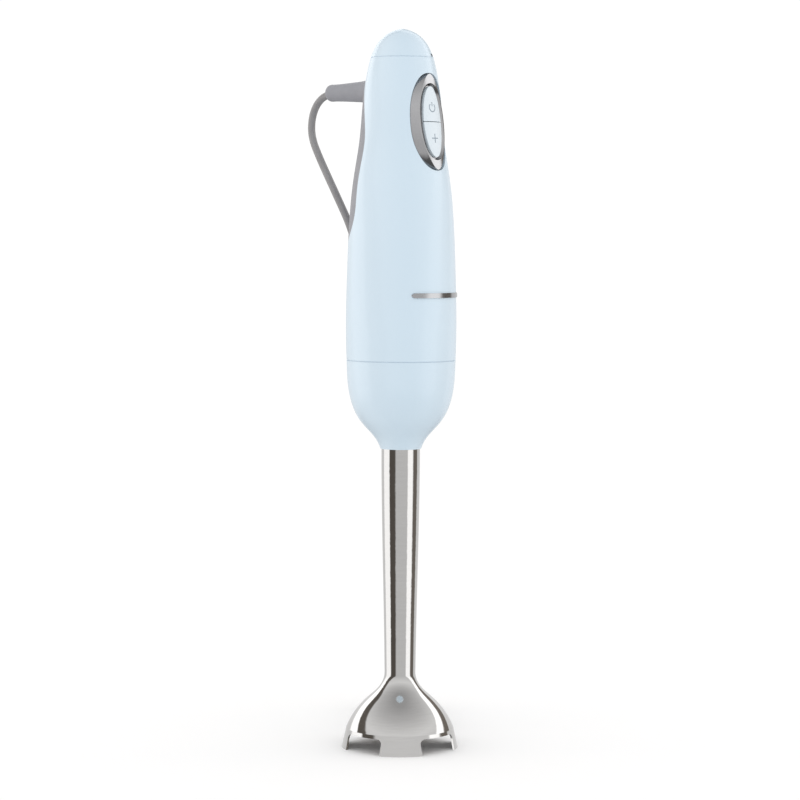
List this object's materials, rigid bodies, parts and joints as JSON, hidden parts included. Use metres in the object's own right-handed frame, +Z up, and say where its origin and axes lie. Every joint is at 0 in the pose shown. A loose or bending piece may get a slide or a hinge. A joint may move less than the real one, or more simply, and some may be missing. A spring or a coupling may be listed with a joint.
{
  "type": "immersion blender",
  "caption": "Retro stick blender standing on its bell guard: blue sleeve with dial and buttons, twist-off steel foot with blade, cord folded behind.",
  "frame": {"origin": "on the shaft's axis, on the surface that the guard's feet stand on", "axes": "+Z up the shaft, -Y the front with the buttons, +Y the back where the cord leaves"},
  "size_m": [0.1335, 0.1217, 0.3994],
  "materials": {
    "sleeve_blue": "glossy pale blue lacquered plastic",
    "button_blue": "semi-gloss paler blue plastic",
    "grip_grey": "matt soft-touch grey",
    "cord_grey": "satin grey PVC",
    "chrome": "satin chrome plating",
    "stainless": "polished stainless steel",
    "steel": "ground steel",
    "inner_plastic": "dark moulded plastic",
    "white_plastic": "natural white plastic",
    "board": "glass-fibre board with solder mask",
    "copper": "enamelled copper",
    "bronze": "sintered bronze",
    "magnet": "ferrite",
    "carbon": "carbon",
    "rubber_black": "black rubber",
    "aluminium": "anodised aluminium"
  },
  "bodies": {
    "handle": {"handle_shell": "sleeve_blue", "rear_grip": "grip_grey", "button_bezel": "chrome", "button_surround": "chrome", "name_bar": "chrome", "chassis_front": "inner_plastic", "chassis_rear": "inner_plastic", "foot_socket": "inner_plastic", "socket_screws": "steel", "motor_can": "steel", "motor_end_cap": "inner_plastic", "motor_magnets": "magnet", "motor_mount_rings": "rubber_black", "upper_bearing": "steel", "lower_bearing": "steel", "brush_holders": "bronze", "carbon_brushes": "carbon", "brush_springs": "steel", "control_board": "board", "power_switch": "inner_plastic", "turbo_switch": "inner_plastic", "filter_capacitor": "inner_plastic", "choke_coil": "copper", "heat_sink": "aluminium", "power_transistor": "inner_plastic", "speed_potentiometer": "steel", "cord_clamp": "inner_plastic", "cord_clamp_screws": "steel", "inner_lead": "cord_grey", "strain_relief": "grip_grey", "power_cord": "cord_grey", "cord_hank": "cord_grey", "cord_tie": "rubber_black", "cord_tail": "cord_grey", "plug_body": "cord_grey", "plug_blades": "bronze"},
    "dial": {"speed_dial": "sleeve_blue", "dial_index": "inner_plastic", "dial_spindle": "white_plastic"},
    "power_key": {"power_button": "button_blue"},
    "turbo_key": {"turbo_button": "button_blue"},
    "rotor": {"rotor_shaft": "steel", "rotor_core": "steel", "rotor_windings": "copper", "commutator": "copper", "cooling_fan": "white_plastic", "drive_dog": "white_plastic"},
    "foot": {"foot_collar": "sleeve_blue", "bayonet_ring": "white_plastic", "shaft_tube": "stainless", "bell_guard": "stainless", "upper_bush": "bronze", "bearing_carrier": "stainless", "lower_bush": "bronze", "shaft_seal": "rubber_black"},
    "cutter": {"drive_shaft": "steel", "shaft_dog": "steel", "circlip": "steel", "blade": "stainless", "blade_nut": "steel"}
  },
  "joints": [
    {"name": "dial_turn", "type": "hinge", "parent": "handle", "child": "dial", "pos_m": [0, 0, 0.39], "axis": [0, 0, 1], "range_deg": [0, 150]},
    {"name": "power_press", "type": "slide", "parent": "handle", "child": "power_key", "axis": [0, 0.9917, -0.1288], "range_m": [0, 0.0015], "stiffness_N_per_m": 600},
    {"name": "turbo_press", "type": "slide", "parent": "handle", "child": "turbo_key", "axis": [0, 0.9917, -0.1288], "range_m": [0, 0.0015], "stiffness_N_per_m": 600},
    {"name": "motor_spin", "type": "hinge", "parent": "handle", "child": "rotor", "pos_m": [0, 0, 0.26], "axis": [0, 0, 1], "continuous": true},
    {"name": "foot_twist", "type": "hinge", "parent": "handle", "child": "foot", "pos_m": [0, 0, 0.21], "axis": [0, 0, 1], "range_deg": [0, 35]},
    {"name": "blade_spin", "type": "hinge", "parent": "foot", "child": "cutter", "pos_m": [0, 0, 0.1], "axis": [0, 0, 1], "continuous": true}
  ],
  "couplings": [
    {"joint": "blade_spin", "follows": "motor_spin", "ratio": 1}
  ]
}
